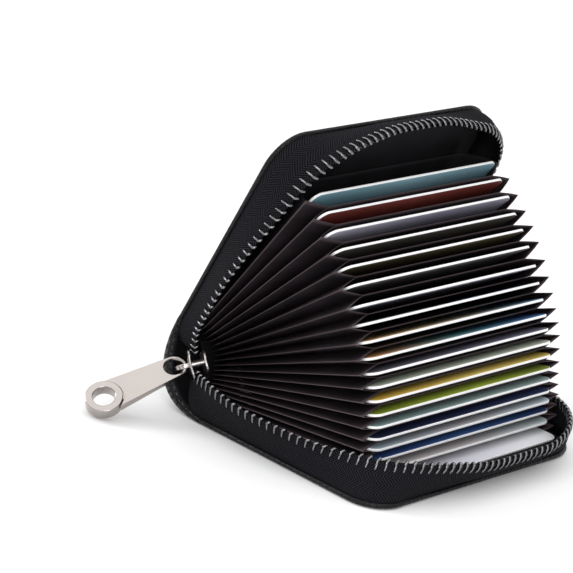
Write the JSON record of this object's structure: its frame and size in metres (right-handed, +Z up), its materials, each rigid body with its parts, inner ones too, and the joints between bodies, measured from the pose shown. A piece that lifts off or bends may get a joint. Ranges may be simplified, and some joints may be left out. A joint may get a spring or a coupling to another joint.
{
  "type": "accordion card holder",
  "caption": "Zip-round leather card case fanned open: two padded covers on a soft spine, pleated bellows pockets each holding a card, zip slider with a ring pull.",
  "frame": {"origin": "middle of the base cover's flat leather face, on the surface it lies on", "axes": "+X from the spine to the mouth, +Y from the slider end to the other end, +Z up"},
  "size_m": [0.0996, 0.1301, 0.0951],
  "materials": {
    "leather": "pebbled semi-gloss",
    "lining": "matt lining",
    "zip_tape": "woven tape",
    "zip_teeth": "metallised coil",
    "bellows": "pleated cloth",
    "hardware": "polished nickel",
    "board": "covered board",
    "card_01": "plain printed card",
    "card_02": "plain printed card",
    "card_03": "plain printed card",
    "card_04": "plain printed card",
    "card_05": "plain printed card",
    "card_06": "plain printed card",
    "card_07": "plain printed card",
    "card_08": "plain printed card",
    "card_09": "plain printed card",
    "card_10": "plain printed card",
    "card_11": "plain printed card",
    "card_12": "plain printed card",
    "card_13": "plain printed card",
    "card_14": "plain printed card",
    "card_15": "plain printed card",
    "card_16": "plain printed card",
    "card_17": "plain printed card",
    "card_18": "plain printed card",
    "card_19": "plain printed card",
    "card_20": "plain printed card"
  },
  "bodies": {
    "base_cover": {"base_cover_leather": "leather", "base_cover_lining": "lining", "base_zip_tape_near": "zip_tape", "base_zip_tape_far": "zip_tape", "base_zip_teeth_near": "zip_teeth", "base_zip_teeth_far": "zip_teeth", "bellows_gusset": "bellows"},
    "spine": {"spine_leather": "leather", "spine_back_strip": "board"},
    "top_cover": {"top_cover_leather": "leather", "top_cover_lining": "lining", "top_zip_tape_near": "zip_tape", "top_zip_tape_far": "zip_tape", "top_zip_teeth_near": "zip_teeth", "top_zip_teeth_far": "zip_teeth"},
    "base_front_zip": {"base_zip_tape_front": "zip_tape", "base_zip_teeth_front": "zip_teeth"},
    "top_front_zip": {"top_zip_tape_front": "zip_tape", "top_zip_teeth_front": "zip_teeth"},
    "slider": {"zip_slider": "hardware"},
    "pull": {"pull_tab": "hardware"},
    "card_01": {"card_01": "card_01"},
    "pocket_01": {"pocket_panel_01": "bellows"},
    "card_02": {"card_02": "card_02"},
    "pocket_02": {"pocket_panel_02": "bellows"},
    "card_03": {"card_03": "card_03"},
    "pocket_03": {"pocket_panel_03": "bellows"},
    "card_04": {"card_04": "card_04"},
    "pocket_04": {"pocket_panel_04": "bellows"},
    "card_05": {"card_05": "card_05"},
    "pocket_05": {"pocket_panel_05": "bellows"},
    "card_06": {"card_06": "card_06"},
    "pocket_06": {"pocket_panel_06": "bellows"},
    "card_07": {"card_07": "card_07"},
    "pocket_07": {"pocket_panel_07": "bellows"},
    "card_08": {"card_08": "card_08"},
    "pocket_08": {"pocket_panel_08": "bellows"},
    "card_09": {"card_09": "card_09"},
    "pocket_09": {"pocket_panel_09": "bellows"},
    "card_10": {"card_10": "card_10"},
    "pocket_10": {"pocket_panel_10": "bellows"},
    "card_11": {"card_11": "card_11"},
    "pocket_11": {"pocket_panel_11": "bellows"},
    "card_12": {"card_12": "card_12"},
    "pocket_12": {"pocket_panel_12": "bellows"},
    "card_13": {"card_13": "card_13"},
    "pocket_13": {"pocket_panel_13": "bellows"},
    "card_14": {"card_14": "card_14"},
    "pocket_14": {"pocket_panel_14": "bellows"},
    "card_15": {"card_15": "card_15"},
    "pocket_15": {"pocket_panel_15": "bellows"},
    "card_16": {"card_16": "card_16"},
    "pocket_16": {"pocket_panel_16": "bellows"},
    "card_17": {"card_17": "card_17"},
    "pocket_17": {"pocket_panel_17": "bellows"},
    "card_18": {"card_18": "card_18"},
    "pocket_18": {"pocket_panel_18": "bellows"},
    "card_19": {"card_19": "card_19"},
    "pocket_19": {"pocket_panel_19": "bellows"},
    "card_20": {"card_20": "card_20"}
  },
  "joints": [
    {"name": "accordion_open", "type": "hinge", "parent": "spine", "child": "top_cover", "pos_m": [-0.04741, 0, 0.02063], "axis": [0, -1, 0], "range_deg": [-48.55, 5], "deforming": ["spine_leather", "bellows_gusset"]},
    {"name": "spine_tilt", "type": "hinge", "parent": "base_cover", "child": "spine", "pos_m": [-0.04148, 0, 0.0047], "axis": [0, -1, 0], "range_deg": [-20.42, 2.11]},
    {"name": "fan_pocket_01", "type": "hinge", "parent": "base_cover", "child": "pocket_01", "pos_m": [-0.04367, 0, 0.01685], "axis": [0, -1, 0], "range_deg": [-58.69, 6.05]},
    {"name": "withdraw_card_01", "type": "slide", "parent": "pocket_01", "child": "card_01", "axis": [0.5198, 0, 0.8543], "range_m": [0, 0.055]},
    {"name": "fan_pocket_02", "type": "hinge", "parent": "base_cover", "child": "pocket_02", "pos_m": [-0.04367, 0, 0.01685], "axis": [0, -1, 0], "range_deg": [-54.67, 5.64]},
    {"name": "withdraw_card_02", "type": "slide", "parent": "pocket_02", "child": "card_02", "axis": [0.5784, 0, 0.8157], "range_m": [0, 0.055]},
    {"name": "fan_pocket_03", "type": "hinge", "parent": "base_cover", "child": "pocket_03", "pos_m": [-0.04367, 0, 0.01685], "axis": [0, -1, 0], "range_deg": [-50.6, 5.22]},
    {"name": "withdraw_card_03", "type": "slide", "parent": "pocket_03", "child": "card_03", "axis": [0.6349, 0, 0.7726], "range_m": [0, 0.055]},
    {"name": "fan_pocket_04", "type": "hinge", "parent": "base_cover", "child": "pocket_04", "pos_m": [-0.04367, 0, 0.01685], "axis": [0, -1, 0], "range_deg": [-46.58, 4.81]},
    {"name": "withdraw_card_04", "type": "slide", "parent": "pocket_04", "child": "card_04", "axis": [0.6875, 0, 0.7262], "range_m": [0, 0.055]},
    {"name": "fan_pocket_05", "type": "hinge", "parent": "base_cover", "child": "pocket_05", "pos_m": [-0.04367, 0, 0.01685], "axis": [0, -1, 0], "range_deg": [-42.61, 4.4]},
    {"name": "withdraw_card_05", "type": "slide", "parent": "pocket_05", "child": "card_05", "axis": [0.7361, 0, 0.6769], "range_m": [0, 0.055]},
    {"name": "fan_pocket_06", "type": "hinge", "parent": "base_cover", "child": "pocket_06", "pos_m": [-0.04367, 0, 0.01685], "axis": [0, -1, 0], "range_deg": [-38.62, 3.99]},
    {"name": "withdraw_card_06", "type": "slide", "parent": "pocket_06", "child": "card_06", "axis": [0.7814, 0, 0.624], "range_m": [0, 0.055]},
    {"name": "fan_pocket_07", "type": "hinge", "parent": "base_cover", "child": "pocket_07", "pos_m": [-0.04367, 0, 0.01685], "axis": [0, -1, 0], "range_deg": [-34.01, 3.51]},
    {"name": "withdraw_card_07", "type": "slide", "parent": "pocket_07", "child": "card_07", "axis": [0.829, 0, 0.5592], "range_m": [0, 0.055]},
    {"name": "fan_pocket_08", "type": "hinge", "parent": "base_cover", "child": "pocket_08", "pos_m": [-0.04367, 0, 0.01685], "axis": [0, -1, 0], "range_deg": [-30.06, 3.1]},
    {"name": "withdraw_card_08", "type": "slide", "parent": "pocket_08", "child": "card_08", "axis": [0.8656, 0, 0.5008], "range_m": [0, 0.055]},
    {"name": "fan_pocket_09", "type": "hinge", "parent": "base_cover", "child": "pocket_09", "pos_m": [-0.04367, 0, 0.01685], "axis": [0, -1, 0], "range_deg": [-26.32, 2.72]},
    {"name": "withdraw_card_09", "type": "slide", "parent": "pocket_09", "child": "card_09", "axis": [0.8964, 0, 0.4432], "range_m": [0, 0.055]},
    {"name": "fan_pocket_10", "type": "hinge", "parent": "base_cover", "child": "pocket_10", "pos_m": [-0.04367, 0, 0.01685], "axis": [0, -1, 0], "range_deg": [-22.91, 2.37]},
    {"name": "withdraw_card_10", "type": "slide", "parent": "pocket_10", "child": "card_10", "axis": [0.9212, 0, 0.3891], "range_m": [0, 0.055]},
    {"name": "fan_pocket_11", "type": "hinge", "parent": "base_cover", "child": "pocket_11", "pos_m": [-0.04367, 0, 0.01685], "axis": [0, -1, 0], "range_deg": [-19.96, 2.06]},
    {"name": "withdraw_card_11", "type": "slide", "parent": "pocket_11", "child": "card_11", "axis": [0.94, 0, 0.3412], "range_m": [0, 0.055]},
    {"name": "fan_pocket_12", "type": "hinge", "parent": "base_cover", "child": "pocket_12", "pos_m": [-0.04367, 0, 0.01685], "axis": [0, -1, 0], "range_deg": [-17.36, 1.8]},
    {"name": "withdraw_card_12", "type": "slide", "parent": "pocket_12", "child": "card_12", "axis": [0.9545, 0, 0.2982], "range_m": [0, 0.055]},
    {"name": "fan_pocket_13", "type": "hinge", "parent": "base_cover", "child": "pocket_13", "pos_m": [-0.04367, 0, 0.01685], "axis": [0, -1, 0], "range_deg": [-14.68, 1.52]},
    {"name": "withdraw_card_13", "type": "slide", "parent": "pocket_13", "child": "card_13", "axis": [0.9674, 0, 0.2533], "range_m": [0, 0.055]},
    {"name": "fan_pocket_14", "type": "hinge", "parent": "base_cover", "child": "pocket_14", "pos_m": [-0.04367, 0, 0.01685], "axis": [0, -1, 0], "range_deg": [-12.06, 1.25]},
    {"name": "withdraw_card_14", "type": "slide", "parent": "pocket_14", "child": "card_14", "axis": [0.978, 0, 0.2088], "range_m": [0, 0.055]},
    {"name": "fan_pocket_15", "type": "hinge", "parent": "base_cover", "child": "pocket_15", "pos_m": [-0.04367, 0, 0.01685], "axis": [0, -1, 0], "range_deg": [-9.87, 1.03]},
    {"name": "withdraw_card_15", "type": "slide", "parent": "pocket_15", "child": "card_15", "axis": [0.9852, 0, 0.1712], "range_m": [0, 0.055]},
    {"name": "fan_pocket_16", "type": "hinge", "parent": "base_cover", "child": "pocket_16", "pos_m": [-0.04367, 0, 0.01685], "axis": [0, -1, 0], "range_deg": [-7.76, 0.81]},
    {"name": "withdraw_card_16", "type": "slide", "parent": "pocket_16", "child": "card_16", "axis": [0.9909, 0, 0.1349], "range_m": [0, 0.055]},
    {"name": "fan_pocket_17", "type": "hinge", "parent": "base_cover", "child": "pocket_17", "pos_m": [-0.04367, 0, 0.01685], "axis": [0, -1, 0], "range_deg": [-6.01, 0.63]},
    {"name": "withdraw_card_17", "type": "slide", "parent": "pocket_17", "child": "card_17", "axis": [0.9945, 0, 0.1045], "range_m": [0, 0.055]},
    {"name": "fan_pocket_18", "type": "hinge", "parent": "base_cover", "child": "pocket_18", "pos_m": [-0.04367, 0, 0.01685], "axis": [0, -1, 0], "range_deg": [-4.17, 0.44]},
    {"name": "withdraw_card_18", "type": "slide", "parent": "pocket_18", "child": "card_18", "axis": [0.9974, 0, 0.0725], "range_m": [0, 0.0085]},
    {"name": "fan_pocket_19", "type": "hinge", "parent": "base_cover", "child": "pocket_19", "pos_m": [-0.04367, 0, 0.01685], "axis": [0, -1, 0], "range_deg": [-2.25, 0.24]},
    {"name": "withdraw_card_19", "type": "slide", "parent": "pocket_19", "child": "card_19", "axis": [0.9992, 0, 0.0391], "range_m": [0, 0.0065]},
    {"name": "withdraw_card_20", "type": "slide", "parent": "base_cover", "child": "card_20", "axis": [1, 0, 0], "range_m": [0, 0.0035]},
    {"name": "base_front_lean", "type": "hinge", "parent": "base_cover", "child": "base_front_zip", "pos_m": [0.0337, 0, 0.00195], "axis": [0, 1, 0], "range_deg": [-42.01, 4.34]},
    {"name": "top_front_lean", "type": "hinge", "parent": "top_cover", "child": "top_front_zip", "pos_m": [-0.02299, 0, 0.09179], "axis": [0, -1, 0], "range_deg": [-34.01, 3.51]},
    {"name": "slider_travel", "type": "hinge", "parent": "base_cover", "child": "slider", "pos_m": [-0.0365, -0.042, 0.0156], "axis": [0, 0, 1], "range_deg": [0, 32]},
    {"name": "pull_tab_swing", "type": "hinge", "parent": "slider", "child": "pull", "pos_m": [-0.04445, -0.05265, 0.0141], "axis": [0.9192, -0.1678, -0.3563], "range_deg": [-20, 1]}
  ],
  "couplings": [
    {"joint": "spine_tilt", "follows": "accordion_open", "ratio": 0.42041},
    {"joint": "fan_pocket_01", "follows": "accordion_open", "ratio": 1.2087},
    {"joint": "fan_pocket_02", "follows": "accordion_open", "ratio": 1.1259},
    {"joint": "fan_pocket_03", "follows": "accordion_open", "ratio": 1.042},
    {"joint": "fan_pocket_04", "follows": "accordion_open", "ratio": 0.95923},
    {"joint": "fan_pocket_05", "follows": "accordion_open", "ratio": 0.87746},
    {"joint": "fan_pocket_06", "follows": "accordion_open", "ratio": 0.79527},
    {"joint": "fan_pocket_07", "follows": "accordion_open", "ratio": 0.70032},
    {"joint": "fan_pocket_08", "follows": "accordion_open", "ratio": 0.61896},
    {"joint": "fan_pocket_09", "follows": "accordion_open", "ratio": 0.54192},
    {"joint": "fan_pocket_10", "follows": "accordion_open", "ratio": 0.47168},
    {"joint": "fan_pocket_11", "follows": "accordion_open", "ratio": 0.41092},
    {"joint": "fan_pocket_12", "follows": "accordion_open", "ratio": 0.35737},
    {"joint": "fan_pocket_13", "follows": "accordion_open", "ratio": 0.30217},
    {"joint": "fan_pocket_14", "follows": "accordion_open", "ratio": 0.2482},
    {"joint": "fan_pocket_15", "follows": "accordion_open", "ratio": 0.20309},
    {"joint": "fan_pocket_16", "follows": "accordion_open", "ratio": 0.15963},
    {"joint": "fan_pocket_17", "follows": "accordion_open", "ratio": 0.12359},
    {"joint": "fan_pocket_18", "follows": "accordion_open", "ratio": 0.085686},
    {"joint": "fan_pocket_19", "follows": "accordion_open", "ratio": 0.046139},
    {"joint": "base_front_lean", "follows": "accordion_open", "ratio": 0.8651},
    {"joint": "top_front_lean", "follows": "accordion_open", "ratio": 0.70032}
  ]
}
